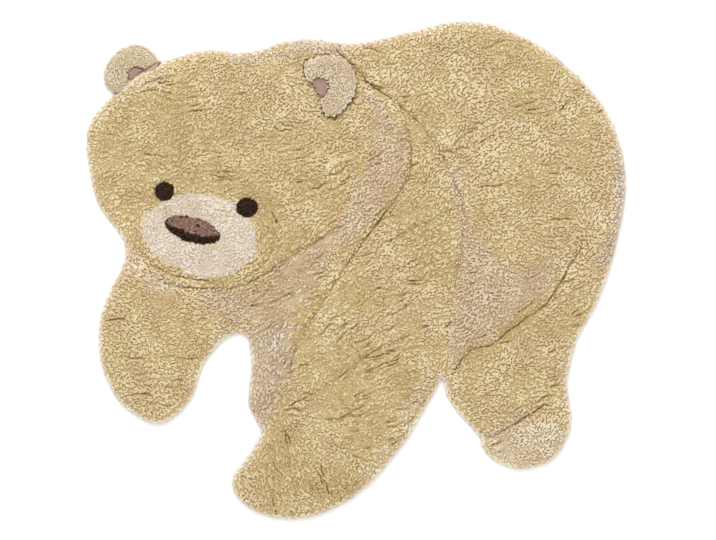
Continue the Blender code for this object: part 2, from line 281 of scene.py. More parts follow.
# Zones tufted in other yarns: name, yarn, how ragged the edge is, the share of the tufts that have the
# yarn, and points on the closed curve round the zone
ZONES = (
    ("cheek", "taupe", 9, 0.88, (
        (15, 410), (65, 370), (100, 315), (110, 270), (105, 215), (80, 170), (50, 130), (5, 85),
        (-55, 40), (-125, 0), (-175, -20), (-190, 5), (-145, 30), (-90, 60), (-45, 100), (-15, 145),
        (-5, 185), (20, 220), (40, 260), (45, 295), (35, 350), (10, 385))),
    ("chest", "taupe", 12, 0.85, (
        (-340, -45), (-260, -40), (-175, -20), (-125, 0), (-70, 35), (-55, 20), (-85, -35),
        (-120, -85), (-150, -140), (-190, -125), (-230, -140), (-260, -135), (-300, -115), (-330, -80))),
    ("inner leg", "pale_taupe", 5, 0.85, (
        (-230, -145), (-190, -125), (-150, -140), (-145, -180), (-140, -205), (-160, -255),
        (-175, -290), (-185, -325), (-205, -360), (-225, -335), (-240, -300), (-240, -275),
        (-230, -230), (-230, -180))),
    ("throat", "pale_honey", 12, 0.8, (
        (-510, 45), (-480, 25), (-440, -10), (-390, -30), (-380, -50), (-425, -50), (-465, -35),
        (-495, -10), (-515, 20))),
    ("flank", "taupe", 5, 0.9, (
        (225, 235), (240, 190), (250, 135), (275, 70), (325, 20), (380, 0), (425, 20), (470, 45),
        (450, -5), (425, -45), (385, -80), (345, -115), (310, -140), (270, -165), (240, -185),
        (215, -215), (205, -200), (205, -155), (215, -105), (230, -45), (235, 20), (230, 80),
        (225, 145), (210, 205))),
    ("crown", "pale_taupe", 8, 0.7, (
        (-285, 485), (-255, 485), (-215, 490), (-165, 505), (-110, 515), (-55, 510), (-25, 505),
        (-25, 490), (-80, 485), (-135, 480), (-190, 465), (-235, 455), (-280, 470))),
    ("rump edge", "pale_taupe", 5, 0.95, (
        (575, 270), (600, 250), (605, 160), (595, 95), (580, 35), (555, 0), (545, 20), (560, 70),
        (575, 125), (580, 185))),
    ("heel", "taupe", 6, 0.7, (
        (290, -360), (325, -345), (370, -320), (390, -330), (360, -360), (325, -380), (300, -395))),
    ("hock", "taupe", 5, 0.8, (
        (470, -180), (490, -165), (480, -235), (485, -300), (470, -290), (465, -240))),
    ("ear band", "pale_honey", 4, 0.85, (
        (-528, 390), (-505, 401), (-478, 419), (-450, 434), (-432, 448), (-420, 440), (-440, 424),
        (-470, 405), (-500, 390), (-522, 380))),
    ("hind foot", "pale_honey", 8, 0.95, (
        (290, -374), (325, -360), (370, -343), (405, -335), (455, -352), (475, -380), (458, -417),
        (415, -440), (358, -444), (316, -426), (293, -398))),
    ("leg edge", "pale_honey", 9, 0.4, (
        (179, -242), (155, -291), (110, -370), (65, -437), (36, -475), (9, -448), (49, -392),
        (87, -325), (125, -264), (155, -213))),
    ("muzzle", "cream", 4, 1.0, (
        (-479, 89), (-474, 116), (-457, 136), (-421, 156), (-373, 172), (-340, 173), (-306, 165),
        (-268, 148), (-241, 124), (-225, 89), (-221, 50), (-237, 21), (-264, -1), (-304, -15),
        (-338, -17), (-371, -7), (-412, 10), (-439, 26), (-465, 53))),
    ("nose", "dark_brown", 0, 1.0, (
        (-426, 104), (-418, 117), (-403, 123), (-371, 120), (-338, 111), (-315, 95), (-304, 80),
        (-308, 66), (-331, 59), (-353, 60), (-385, 68), (-412, 85))),
    ("nose top", "cocoa", 1, 0.97, (
        (-423, 107), (-403, 122), (-371, 119), (-340, 110), (-317, 95), (-306, 80), (-335, 76),
        (-371, 85), (-402, 97))),
    ("far eye", "dark_brown", 0, 1.0, (
        (-449, 177), (-446, 188), (-438, 196), (-427, 198), (-415, 195), (-407, 187), (-405, 176),
        (-409, 166), (-418, 158), (-430, 156), (-442, 161), (-448, 169))),
    ("near eye", "dark_brown", 0, 1.0, (
        (-266, 141), (-263, 153), (-254, 161), (-242, 163), (-229, 159), (-220, 151), (-218, 141),
        (-222, 129), (-231, 121), (-243, 119), (-256, 123), (-264, 131))),
)
CURVE_STEPS = 6
ZONE_MARGIN = 20.0
ZONE_WAVE = 14.0
ZONE_WAVY = 0.6
ZONE_MIXED = 0.4
CLIPPED_ROUND = ("nose", "far eye", "near eye")

# The face, where the core has finer faces, and the honey patches beside the nose: centre and size
FACE_BOX = ((-520, -50), (-180, 240))
PATCHES = ((-426, 131, 15), (-290, 120, 17))
PATCH_SHARE = 0.5
FINE_CUTS = 3

# Yarns: the colour at the root, along the yarn and at its tip, and how much yarns differ
# The darker colour at a yarn's root is painted shade deep in the pile
YARNS = {
    "honey": ("#CFBA85", "#DBCA9F", "#E0D1AC", 0.06),
    "taupe": ("#C9B48C", "#D9C8AC", "#DECEB5", 0.05),
    "pale_taupe": ("#C6B599", "#D6C7B2", "#DCCEBB", 0.05),
    "cream": ("#DCD0BC", "#E1D7C9", "#E6DDD3", 0.025),
    "cocoa": ("#7E6558", "#94796C", "#9E8276", 0.08),
    "dark_brown": ("#20130D", "#37251B", "#3D2A1F", 0.12),
    "pale_honey": ("#D2C4A0", "#E3D7BB", "#E9DFCA", 0.04),
    "ear": ("#C9BA9A", "#D6C9AE", "#DCD0BA", 0.05),
}
YARN_NAMES = tuple(YARNS)

# The yarns without a pale bloom of fibres, and those over which the core lies less deep
DARK_YARNS = ("cocoa", "dark_brown")
FACE_YARNS = ("cream", "cocoa")

# The yarn itself: its twist, its plies, its fibres, the size of stains left by washing, and the
# period of a wave texture of scale 1
TWIST_PITCH = 5.5
PLIES = 2
FIBRE = 0.9
STAIN = 46.0
WAVE_PERIOD = math.pi / 10

# What decides a tuft's yarn is the point this share of the way from its root to its tip
SEEN = 0.6

# One tuft: its rings as shares of its length and of its radius, before the tip
SIDES = 4
RINGS = ((0.0, 0.75), (0.5, 1.0), (0.9, 0.82))

# The ears' pile: its pitch and size as shares of the rug's, and how firmly its rows run round
EAR_PITCH = 0.85
EAR_SIZE = 0.8
EAR_HOLD = 0.6

# A lining's dent
DENT_DEPTH = 0.35
DENT_SIZE = 9.0

# The floor's half width and how far it lies under the rug, and the lights: name, place and width in
# metres, and power
FLOOR_HALF = 30000.0
FLOOR_DROP = 0.2
LIGHTS = (
    ("key", (-0.9, 2.6, 2.8), 1.8, 57.0),
    ("fill", (1.6, -1.2, 3.2), 2.4, 14.0),
)

# The camera looks straight down, and the picture is this wide on the floor
FRAME_WIDTH = 1.606
FRAME_CENTRE = (0.0043, 0.0003)
CAMERA_HEIGHT = 4.0
SENSOR = 36.0

SEEDS = {"rug": 11, "ear_left": 23, "ear_right": 37}


def linear(hex_colour):
    """The linear colour of an sRGB hex value: c/12.92 below 0.04045, else ((c + 0.055)/1.055)^2.4."""
    values = [int(hex_colour[i:i + 2], 16) / 255 for i in (1, 3, 5)]
    parts = [v / 12.92 if v <= 0.04045 else ((v + 0.055) / 1.055) ** 2.4 for v in values]
    return (*parts, 1.0)


def cell_noise(cells_x, cells_y, seed):
    """A fixed random number from 0 to 1 for each whole-number cell, by mixing its two numbers."""
    mixed = (cells_x * 374761393 + cells_y * 668265263 + seed * 974634777) & 0xFFFFFFFF
    mixed = ((mixed ^ (mixed >> 13)) * 1274126177) & 0xFFFFFFFF
    mixed = ((mixed ^ (mixed >> 15)) * 1103515245) & 0xFFFFFFFF
    return (mixed ^ (mixed >> 16)) / 0xFFFFFFFF


def smooth_noise(points, size, seed):
    """Random numbers on a square lattice, blended between its corners by 3t² - 2t³. From -1 to 1."""
    scaled = points[:, :2] / size
    cell = np.floor(scaled).astype(np.int64)
    part = scaled - cell
    part = part * part * (3 - 2 * part)
    across, up = part.T
    x, y = cell.T
    low = cell_noise(x, y, seed) * (1 - across) + cell_noise(x + 1, y, seed) * across
    high = cell_noise(x, y + 1, seed) * (1 - across) + cell_noise(x + 1, y + 1, seed) * across
    return 2 * (low * (1 - up) + high * up) - 1


def closed_curve(knots, steps=CURVE_STEPS):
    """A smooth closed curve through the knots: on each stretch the Catmull-Rom cubic of its four
    nearest knots, read at equal steps."""
    p1 = np.array(knots, float)
    p0, p2, p3 = np.roll(p1, 1, 0), np.roll(p1, -1, 0), np.roll(p1, -2, 0)
    t = (np.arange(steps) / steps)[None, :, None]
    a, b, c, d = (p[:, None, :] for p in (p0, p1, p2, p3))
    curve = 0.5 * (2 * b + (c - a) * t + (2 * a - 5 * b + 4 * c - d) * t ** 2
                   + (3 * b - a - 3 * c + d) * t ** 3)
    return curve.reshape(-1, 2)


def open_curve(knots):
    """A smooth curve through the knots: a closed one whose knots also run back, cut at its far end."""
    there_and_back = np.concatenate([knots, knots[-2:0:-1]])
    return closed_curve(there_and_back)[:(len(knots) - 1) * CURVE_STEPS + 1]


def off_line(spots, line):
    """The way to each spot from the nearest place on each straight stretch of a line."""
    start, run = line[None, :-1], np.diff(line, axis=0)[None]
    share = np.clip(((spots[:, None] - start) * run).sum(2) / (run ** 2).sum(2), 0, 1)
    return spots[:, None] - (start + share[..., None] * run)


def signed_distance(points, loop):
    """Distance of each point to a closed loop of straight stretches, positive inside. A point is
    inside where a ray to +X crosses the loop an odd number of times."""
    start, end = loop[None], np.roll(loop, -1, 0)[None]
    spot = points[:, None, :2]
    run = end - start
    gap = np.linalg.norm(off_line(points[:, :2], np.concatenate([loop, loop[:1]])), axis=2).min(1)
    above = (start[..., 1] > spot[..., 1]) != (end[..., 1] > spot[..., 1])
    rise = np.where(run[..., 1] == 0, 1e-9, run[..., 1])
    cross = start[..., 0] + (spot[..., 1] - start[..., 1]) * run[..., 0] / rise
    inside = (above & (spot[..., 0] < cross)).sum(1) % 2 == 1
    return np.where(inside, gap, -gap)


def unit(vectors):
    """Vectors divided by their lengths."""
    return vectors / np.maximum(np.linalg.norm(vectors, axis=-1, keepdims=True), 1e-12)


def solid_of(node):
    """The points, in millimetres, and triangles of a CAD node, with its doubles merged."""
    work = bmesh.new()
    work.from_mesh(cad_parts[node].data)
    bmesh.ops.remove_doubles(work, verts=work.verts, dist=1e-6)
    bmesh.ops.triangulate(work, faces=work.faces)
    points = np.array([v.co[:] for v in work.verts]) / MM
    corners = np.array([[v.index for v in f.verts] for f in work.faces])
    work.free()
    return points, corners


def tree_of(solid):
    """A search tree of a solid's triangles."""
    return BVHTree.FromPolygons(solid[0].tolist(), solid[1].tolist())


def point_normals(points, corners):
    """The normal at each point: the sum of its triangles' normals, each as long as its area."""
    a, b, c = (points[corners[:, i]] for i in range(3))
    normals = np.zeros_like(points)
    for i in range(3):
        np.add.at(normals, corners[:, i], np.cross(b - a, c - a))
    return unit(normals)


def underside(points, corners):
    """The triangles of a solid's flat underside, and the edges round it, which have one triangle."""
    flat = corners[(points[corners, 2] < points[:, 2].min() + FLAT).all(1)]
    edges = np.concatenate([flat[:, [0, 1]], flat[:, [1, 2]], flat[:, [2, 0]]])
    _, first, count = np.unique(np.sort(edges, 1), axis=0, return_index=True, return_counts=True)
    return flat, edges[first[count == 1]]


def hem_edges(points, corners):
    """The edges round a solid's flat underside, in order, as start and end points with the outer
    side on the left, seen from above."""
    _, edges = underside(points, corners)
    onward = dict(edges.tolist())
    loop = [next(iter(onward))]
    while len(loop) < len(onward):
        loop.append(onward[loop[-1]])
    return points[loop], points[np.roll(loop, -1)]


def heights(tree, points):
    """How high the solid's top is above each point, by a ray straight down. Not a number outside."""
    hits = [tree.ray_cast((x, y, RAY_HEIGHT), (0, 0, -1))[0] for x, y in points[:, :2].tolist()]
    return np.array([hit.z if hit else np.nan for hit in hits])


def jittered_rows(low, high, pitch, rng):
    """Rows of points a pitch apart, each second row moved by half a pitch, then all jittered."""
    columns = np.arange(low[0], high[0], pitch)
    rows = np.arange(low[1], high[1], pitch * ROW_RATIO)
    x, y = np.meshgrid(columns, rows)
    x = x + (np.arange(len(rows)) % 2)[:, None] * pitch / 2
    points = np.stack([x.ravel(), y.ravel()], 1)
    return points + rng.uniform(-JITTER, JITTER, points.shape) * pitch


def region_shares(points):
    """The distance of each point from each region's centre, divided by the region's reach."""
    centres = np.array([row[1] for row in REGIONS], float)
    reach = np.array([row[2] for row in REGIONS], float)
    return np.linalg.norm(points[:, None, :2] - centres, axis=2) / reach


def flow(points):
    """The direction of the rows at each point, in radians, how firmly they hold it, how far cracks
    open, and how much paler the pile is: the regions' own values weighted by
    exp(-(distance/reach)²), and for the rows round the chin the tangent of its circle.
    Directions are averaged as doubled angles, because a row runs both ways."""
    angle = np.radians([row[3] for row in REGIONS])
    grip, cracked, lift = np.array([row[4:] for row in REGIONS]).T
    weight = np.exp(-region_shares(points) ** 2) + 1e-9
    from_chin = points[:, :2] - CHIN_CENTRE
    radius = np.linalg.norm(from_chin, axis=1)
    ring = CHIN_WEIGHT * np.exp(-((radius - CHIN_RADIUS) / CHIN_REACH) ** 2) * (from_chin[:, 1] < CHIN_TOP)
    tangent = np.arctan2(from_chin[:, 1], from_chin[:, 0]) + math.pi / 2
    total = weight.sum(1) + ring
    across = ((weight * np.cos(2 * angle)).sum(1) + ring * np.cos(2 * tangent)) / total
    along = ((weight * np.sin(2 * angle)).sum(1) + ring * np.sin(2 * tangent)) / total
    hold = ((weight * grip).sum(1) + ring * CHIN_GRIP) / total
    weight = weight / weight.sum(1, keepdims=True)
    return 0.5 * np.arctan2(along, across), hold, weight @ cracked, weight @ lift


def close_to(spots, line, margin):
    """True for each spot in the box of a line, with a margin."""
    return ((spots > line.min(0) - margin) & (spots < line.max(0) + margin)).all(1)


def yarn_of(points, rng):
    """The yarn of each point: honey, or the yarn of the last zone that holds it. Noise moves a
    zone's edge in and out by its ragged width."""
    yarn = np.zeros(len(points), int)
    for index, (_, name, ragged, share, knots) in enumerate(ZONES):
        loop = closed_curve(knots) + TABLE_SHIFT
        near = close_to(points[:, :2], loop, ZONE_MARGIN)
        spots = points[near]
        reach = signed_distance(spots, loop)
        reach += ragged * ZONE_WAVY * smooth_noise(spots, ZONE_WAVE, 70 + index)
        reach += ragged * ZONE_MIXED * rng.uniform(-1, 1, len(spots))
        found = np.flatnonzero(near)[(reach > 0) & (rng.random(len(spots)) < share)]
        yarn[found] = YARN_NAMES.index(name)
    for x, y, size in PATCHES:
        gap = np.linalg.norm(points[:, :2] - (x, y), axis=1)
        mixed = (gap < size) & (rng.random(len(points)) < PATCH_SHARE) & (yarn == YARN_NAMES.index("cream"))
        yarn[mixed] = YARN_NAMES.index("pale_honey")
    return yarn


def splits(low, high, rng):
    """Long cracks in the pile: each starts near a point of a lattice where its patch of pile is one
    that opens, and runs on along the rows with small turns. Lines of name, strength and points."""
    starts = jittered_rows(low, high, SPLIT_PITCH, rng)
    _, _, cracked, _ = flow(starts)
    patchy = 0.6 + 0.7 * smooth_noise(starts, CRACK_PATCH, 81)
    starts = starts[rng.random(len(starts)) < (cracked - SPLIT_FROM) * patchy * SPLIT_RARE]
    strength = SPLIT_STRENGTH * rng.uniform(*SPLIT_SPREAD, len(starts))
    stops = rng.integers(SPLIT_FEWEST, SPLIT_STEPS + 2, len(starts))
    path = [starts]
    for step in range(SPLIT_STEPS):
        angle, _, _, _ = flow(path[-1])
        angle = angle + SPLIT_TURN * smooth_noise(path[-1], SPLIT_TURN_PATCH, 82)
        path.append(path[-1] + SPLIT_STEP * np.stack([np.cos(angle), np.sin(angle)], 1))
    path = np.stack(path, 1)
    return tuple(("split", strong, line[:stop]) for strong, line, stop in zip(strength, path, stops))


def drawn(lines):
    """Lines as smooth curves that wander a little, in short steps, each with its strength."""
    curves = []
    for _, strength, knots in lines:
        line = open_curve(np.array(knots)) + TABLE_SHIFT
        reached = np.append(0, np.cumsum(np.linalg.norm(np.diff(line, axis=0), axis=1)))
        stops = np.arange(0, reached[-1], STUB_PITCH)
        line = np.stack([np.interp(stops, reached, line[:, axis]) for axis in (0, 1)], 1)
        wander = np.stack([smooth_noise(line, CLIP_WAVE, 56), smooth_noise(line, CLIP_WAVE, 57)], 1)
        curves.append((strength, line + CLIP_WANDER * wander))
    return curves


def parting(points, lines):
    """What the clipped lines do to each tuft: how far they push it off, how upright they hold it by
    exp(-(distance/reach)²), the nearest line's tangent in radians, the bare distance, which is that
    from a line divided by its own strength, and the way to the edge of the line's groove. The eyes
    and the nose are clipped round too."""
    push = np.zeros((len(points), 2))
    upright = np.zeros(len(points))
    tangent = np.zeros(len(points))
    bare = np.full(len(points), np.inf)
    distance = np.full(len(points), CLIP_EDGE)
    edge = np.zeros((len(points), 2))
    lines = drawn(lines)
    for name, _, _, _, knots in ZONES:
        if name in CLIPPED_ROUND:
            loop = closed_curve(knots) + TABLE_SHIFT
            lines.append((RING_STRENGTH, np.concatenate([loop, loop[:1]])))
    for strength, line in lines:
        near = np.flatnonzero(close_to(points, line, CLIP_MARGIN))
        away = off_line(points[near], line)
        gap = np.linalg.norm(away, axis=2)
        pick = gap.argmin(1)
        gap, away = gap[np.arange(len(near)), pick], away[np.arange(len(near)), pick]
        close = np.exp(-(gap / CLIP_REACH) ** 2)
        push[near] += unit(away) * close[:, None] * min(1, strength + 0.3)
        upright[near] = np.maximum(upright[near], close)
        closer = gap < distance[near]
        tangent[near[closer]] = np.arctan2(away[:, 0], -away[:, 1])[closer]
        edge[near[closer]] = (unit(away) * (CLIP_EDGE - gap)[:, None])[closer]
        distance[near] = np.minimum(distance[near], gap)
        faded = FADE_LEAST + FADE_RANGE * np.maximum(0, smooth_noise(points[near], FADE_PATCH, 55))
        bare[near] = np.minimum(bare[near], gap / (strength * faded))
    return {"push": push * CLIP_OPEN, "upright": upright, "tangent": tangent, "bare": bare, "edge": edge}


def clumps(points, angle, hold, cracked, seed):
    """How far each tuft's tip leans with its clump. Clumps are the cells of a jittered lattice, each
    point belonging to the nearest centre when lengths along the rows are divided by the stretch.
    A tip moves part of the way to its clump's centre, and off the border with the next clump by
    exp(-(gap/width)²), where the patch of pile is one that has opened."""
    cell = np.floor(points[:, :2] / CLUMP_SIZE).astype(np.int64)
    steps = np.stack(np.meshgrid(np.arange(-2, 3), np.arange(-2, 3)), -1).reshape(-1, 2)
    near = cell[:, None] + steps[None]
    spread = np.stack([cell_noise(near[..., 0], near[..., 1], seed),
                       cell_noise(near[..., 0], near[..., 1], seed + 1)], -1)
    centres = (near + CELL_MARGIN + (1 - 2 * CELL_MARGIN) * spread) * CLUMP_SIZE
    offset = centres - points[:, None, :2]
    along = np.stack([np.cos(angle), np.sin(angle)], 1)
    side = np.stack([-np.sin(angle), np.cos(angle)], 1)
    stretch = 1 + CLUMP_STRETCH * hold
    run = (offset * along[:, None]).sum(2) / stretch[:, None]
    gap = np.hypot(run, (offset * side[:, None]).sum(2))
    order = np.argsort(gap, 1)[:, :2]
    pick = np.arange(len(points))
    first, second = offset[pick, order[:, 0]], offset[pick, order[:, 1]]
    border = gap[pick, order[:, 1]] - gap[pick, order[:, 0]]
    away = unit(first - second)
    opened = CRACK_LEVEL + CRACK_RANGE * smooth_noise(points, CRACK_PATCH, seed + 2)
    opened = np.clip(opened, 0, CRACK_MOST)
    opened = opened * cracked * np.exp(-(border / CRACK_WIDTH) ** 2)
    inward = (first * side).sum(1)[:, None] * side
    inward = inward + (1 - hold)[:, None] * CLUMP_ALONG * (first * along).sum(1)[:, None] * along
    lean = CLUMP_PULL * inward + CRACK_OPEN * opened[:, None] * away
    return lean, opened


def add_mesh(name, points, corners, smooth=True):
    """A mesh object of triangles, from points in millimetres and the numbers of each one's corners."""
    mesh = bpy.data.meshes.new(name)
    mesh.vertices.add(len(points))
    mesh.vertices.foreach_set("co", (np.asarray(points) * MM).astype(np.float32).ravel())
    mesh.loops.add(corners.size)
    mesh.loops.foreach_set("vertex_index", corners.astype(np.int32).ravel())
    mesh.polygons.add(len(corners))
    mesh.polygons.foreach_set("loop_start", np.arange(0, corners.size, 3, dtype=np.int32))
    mesh.polygons.foreach_set("use_smooth", np.full(len(corners), smooth))
    mesh.update(calc_edges=True)
    mesh.validate()
    thing = bpy.data.objects.new(name, mesh)
    bpy.context.scene.collection.objects.link(thing)
    return thing


def add_values(thing, name, values):
    """Stores one number for each point of the mesh."""
    layer = thing.data.attributes.new(name, "FLOAT", "POINT")
    layer.data.foreach_set("value", np.asarray(values, np.float32).ravel())


def tuft_corners():
    """The triangles of one tuft: bands of two triangles a side between its rings, a fan to the tip,
    and a fan that closes the root."""
    side = np.arange(SIDES)
    after = (side + 1) % SIDES
    faces = []
    for ring in range(len(RINGS) - 1):
        low, high = ring * SIDES, (ring + 1) * SIDES
        faces.append(np.stack([low + side, low + after, high + after], 1))
        faces.append(np.stack([low + side, high + after, high + side], 1))
    last = (len(RINGS) - 1) * SIDES
    faces.append(np.stack([last + side, last + after, np.full(SIDES, last + SIDES)], 1))
    fan = np.arange(1, SIDES - 1)
    faces.append(np.stack([np.zeros(SIDES - 2, int), fan + 1, fan], 1))
    return np.concatenate(faces)


def tufts(name, grown, chosen):
    """One mesh of tufts. A tuft's middle line is (1-s)² root + 2s(1-s) knee + s² tip, and round it
    stand rings of corners, in the plane square to the line, with the radius of their share. The
    level line across the tuft's lay is where a ring starts, so that no ring is turned on the last."""
    root, knee, tip = (grown[key][chosen] for key in ("root", "knee", "tip"))
    radius, turn, tone = (grown[key][chosen] for key in ("radius", "turn", "tone"))
    count = len(root)
    share = np.array([row[0] for row in RINGS])[None, :, None]
    bend = 2 * share * (1 - share) * knee[:, None]
    middle = (1 - share) ** 2 * root[:, None] + bend + share ** 2 * tip[:, None]
    ahead = unit((1 - share) * (knee - root)[:, None] + share * (tip - knee)[:, None])
    run = tip - root
    guide = np.stack([-run[:, 1], run[:, 0] + 1e-3, 0 * turn], 1)[:, None]
    across = unit(guide - ahead * (guide * ahead).sum(2, keepdims=True))
    third = np.cross(ahead, across)
    around = (2 * math.pi * np.arange(SIDES) / SIDES + turn[:, None])[:, None, :, None]
    width = radius[:, None] * np.array([row[1] for row in RINGS])
    ring = across[:, :, None] * np.cos(around) + third[:, :, None] * np.sin(around)
    rings = middle[:, :, None] + ring * width[:, :, None, None]
    points = np.concatenate([rings.reshape(count, -1, 3), tip[:, None]], 1)
    per_tuft = points.shape[1]
    corners = tuft_corners()[None] + (np.arange(count) * per_tuft)[:, None, None]
    thing = add_mesh(name, points.reshape(-1, 3), corners.reshape(-1, 3))
    shares = np.append(np.repeat(share.ravel(), SIDES), 1.0)
    add_values(thing, "height", np.tile(shares, count))
    add_values(thing, "tone", np.repeat(tone, per_tuft))
    length = np.linalg.norm(tip - root, axis=1)
    add_ply_map(thing, count, length, turn)
    return thing


def add_ply_map(thing, count, length, turn):
    """The yarn's own UV map. U grows by one for each ply, round the yarn and along its twist, and V
    is the share of the length, so stripes of even U wind up the yarn."""
    faces = tuft_corners()
    around = np.append(np.tile(np.arange(SIDES) / SIDES, len(RINGS)), 0.5)
    shares = np.append(np.repeat([row[0] for row in RINGS], SIDES), 1.0)
    u, v = around[faces], shares[faces]
    u = np.where((u.max(1) - u.min(1) > 0.5)[:, None] & (u < 0.5), u + 1, u)
    turns = u[None] * PLIES + v[None] * (length / TWIST_PITCH)[:, None, None] + turn[:, None, None]
    flat = np.stack([turns, np.broadcast_to(v, turns.shape)], -1)
    layer = thing.data.uv_layers.new(name="ply")
    layer.data.foreach_set("uv", flat.astype(np.float32).ravel())


def only(group, kept):
    """The members of a group that are kept. A group is a dictionary of arrays of equal length."""
    return {key: values[kept] for key, values in group.items()}


def joined(*groups):
    """Groups of tufts as one."""
    return {key: np.concatenate([group[key] for group in groups]) for key in groups[0]}


def yarns_at(root, knee, tip, radius, turn, tone, laid=False):
    """A group of tufts from their three points, and whether they are laid along the hem."""
    return {"root": root, "knee": knee, "tip": tip, "radius": radius, "turn": turn, "tone": tone,
            "hem": np.full(len(root), laid)}


def planted(solid, tree, lines, pitch, size, rng):
    """Where a pile's top has tufts: jittered rows inside the hem, apart from the bottom of clipped
    lines. Each spot has the solid's height there, its way and distance from the hem, what the lines
    do to it, and the level of the pile at the edge of its line."""
    points, corners = solid
    start, end = hem_edges(points, corners)
    spots = jittered_rows(points.min(0)[:2], points.max(0)[:2], pitch, rng)
    top = heights(tree, spots)
    spots, top = spots[~np.isnan(top)], top[~np.isnan(top)]
    hem = (start + end)[:, :2] / 2
    parts = np.array_split(spots, max(1, len(spots) // BATCH))
    nearest = np.concatenate([np.linalg.norm(part[:, None] - hem, axis=2).argmin(1) for part in parts])
    away = spots - hem[nearest]
    found = {"spot": spots, "top": top, "away": away, "gap": np.linalg.norm(away, axis=1)}
    found = only(found, found["gap"] > TOP_INSET * size)
    found = found | parting(found["spot"], lines)
    found = only(found, found["bare"] > CLIP_BARE)
    beside = heights(tree, found["spot"] + found["edge"])
    found["level"] = np.where(np.isnan(beside) | (beside < found["top"]), found["top"], beside)
    return found


def rows_beside(lines, angle, hold):
    """The rows' direction and hold, drawn to the tangent of a clipped line as far as it holds them."""
    upright, tangent = lines["upright"], lines["tangent"]
    along = (1 - upright) * np.cos(2 * angle) + upright * np.cos(2 * tangent)
    across = (1 - upright) * np.sin(2 * angle) + upright * np.sin(2 * tangent)
    return 0.5 * np.arctan2(across, along), hold + (1 - hold) * upright


def slope_at(tree, spots, top, step):
    """The slope of a solid's top at each spot, from its heights a step away on four sides."""
    sides = [heights(tree, spots + shift) for shift in ((step, 0), (-step, 0), (0, step), (0, -step))]
    sides = [np.where(np.isnan(side), top, side) for side in sides]
    return np.stack([sides[0] - sides[1], sides[2] - sides[3]], 1) / (2 * step)


def leaning(seed, tree, found, angle, hold, cracked, size, rng):
    """How far each tip leans from its root: with its clump, one way or the other along the rows, off
    a clipped line, out over the rim and up the slope. Then how far the pile has opened there, and
    each tuft's spin about its own line."""
    spots, upright, gap = (found[key] for key in ("spot", "upright", "gap"))
    clump, opened = clumps(spots, angle, hold, cracked, seed)
    spin = rng.uniform(0, 2 * math.pi, len(spots))
    turned = angle + (1 - hold) * TURN_FREE * smooth_noise(spots, TURN_PATCH, seed + 7)
    turned = turned + rng.normal(0, TURN_SPREAD, len(spots)) * (1 - UPRIGHT_TURN * upright)
    backward = smooth_noise(spots, LAY_PATCH, seed + 9) + rng.normal(0, LAY_MIXED, len(spots)) < 0
    turned = turned + math.pi * backward
    length = TUFT_LAY * rng.uniform(*LAY_SPREAD, len(spots))
    length = length * (1 + LAY_SWELL * smooth_noise(spots, LAY_SWELL_PATCH, seed + 8))
    standing = (1 - UPRIGHT_LAY * upright) * (1 - OPENED_LAY * np.minimum(opened, 1))
    standing = standing * (1 - RIM_LAY * np.exp(-gap / RIM_SPLAY_REACH))
    lay = np.stack([np.cos(turned), np.sin(turned)], 1) * (length * standing)[:, None]
    splay = RIM_SPLAY * size * np.exp(-gap / (RIM_SPLAY_REACH * size))
    slope = slope_at(tree, spots, found["top"], SLOPE_REACH * size)
    lean = (clump + lay + found["push"]) * size + -unit(found["away"]) * splay[:, None]
    lean = lean + np.clip(slope, -1.0, 1.0) * SLOPE_PULL * size
    outside = np.isnan(heights(tree, spots + lean))
    lean[outside] *= OUTSIDE_LEAN
    return lean, opened, spin


def grow_top(node, solid, tree, angle_at, lines, pitch, size, rng):
    """The tufts of a pile's top. A tip stands at the height of the solid's top, a little lower by
    chance and lower still where the pile has opened. The knee of a tuft that lies over is a little
    above its tip, and that of one that stands is part of the way down."""
    found = planted(solid, tree, lines, pitch, size, rng)
    spots, top, upright = (found[key] for key in ("spot", "top", "upright"))
    angle, hold, cracked, lift = angle_at(spots)
    angle, hold = rows_beside(found, angle, hold)
    lean, opened, spin = leaning(SEEDS[node], tree, found, angle, hold, cracked, size, rng)
    tips = spots + lean
    tip_top = heights(tree, tips)
    tip_top = np.where(np.isnan(tip_top), top, tip_top)
    high = np.maximum(np.minimum(tip_top, top + TIP_CLIMB), found["level"]) - CLIP_BEVEL * upright
    high = high - CRACK_DROP * opened * size - rng.gamma(*TIP_DROP, len(spots)) * size
    floor = solid[0][:, 2].min() + CLOTH_THICK
    low = np.maximum(np.minimum(top, tip_top) - TUFT_DEPTH * size, floor + ROOT_CLEAR)
    bow = np.stack([-lean[:, 1], lean[:, 0]], 1) * rng.normal(0, TUFT_BOW, len(spots))[:, None]
    laid = np.clip(np.linalg.norm(lean, axis=1) / (KNEE_REACH * size), 0, 1)
    bend = high + TUFT_SLACK * size * laid - KNEE_DROP * (1 - laid) * (high - low)
    knee = np.column_stack([spots + lean * KNEE_SHARE + bow, bend])
    radius = TUFT_RADIUS * size * rng.uniform(*RADIUS_SPREAD, len(spots))
    tone = lift + rng.normal(0, TONE_SPREAD, len(spots))
    for index, (patch, strength) in enumerate(TONE_PATCHES):
        tone = tone + strength * smooth_noise(spots, patch, SEEDS[node] + 20 + index)
    # Tufts near the rim are paler, and up to twice as pale on the top edge as painted light
    rim = RIM_TONE * np.exp(-(found["gap"] / RIM_TONE_REACH) ** 2) * (1 + lit(-unit(found["away"])))
    # Tufts beside an opened crack are darkened as painted shade
    tone = tone + rim - CRACK_SHADE * opened
    return yarns_at(np.column_stack([spots, low]), knee, np.column_stack([tips, high]), radius, spin, tone)


